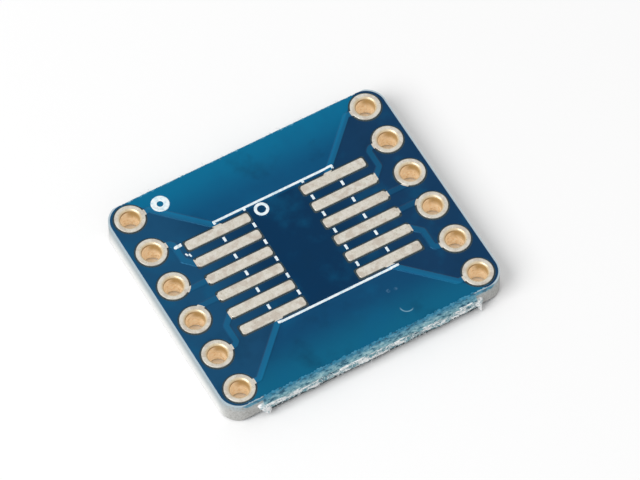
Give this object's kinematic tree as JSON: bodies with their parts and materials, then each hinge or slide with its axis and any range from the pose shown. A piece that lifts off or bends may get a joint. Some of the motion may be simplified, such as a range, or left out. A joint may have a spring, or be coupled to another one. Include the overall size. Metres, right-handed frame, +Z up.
{
  "type": "smd adapter board",
  "caption": "Bare adapter board that brings the pads of a small surface-mount package out to two rows of plated through holes at breadboard spacing.",
  "frame": {"origin": "under the middle of the board, on the plane that it rests on", "axes": "+X across the two rows of holes, towards the second row; +Y along the rows, towards the end with the first hole; +Z up, out of the face with the wide footprint"},
  "size_m": [0.0178, 0.0152, 0.0016],
  "materials": {
    "laminate": "woven glass and epoxy laminate, cut and broken edges",
    "plated_copper": "copper with a thin pale gold finish, satin",
    "solder_mask": "blue printed resist, glossy",
    "legend_ink": "white printed epoxy ink"
  },
  "bodies": {
    "root": {"fr4_core": "laminate", "conductor_01": "plated_copper", "conductor_02": "plated_copper", "conductor_03": "plated_copper", "conductor_04": "plated_copper", "conductor_05": "plated_copper", "conductor_06": "plated_copper", "conductor_07": "plated_copper", "conductor_08": "plated_copper", "conductor_09": "plated_copper", "conductor_10": "plated_copper", "conductor_11": "plated_copper", "conductor_12": "plated_copper", "top_mask": "solder_mask", "bottom_mask": "solder_mask", "top_legend": "legend_ink", "bottom_legend": "legend_ink"}
  },
  "joints": []
}
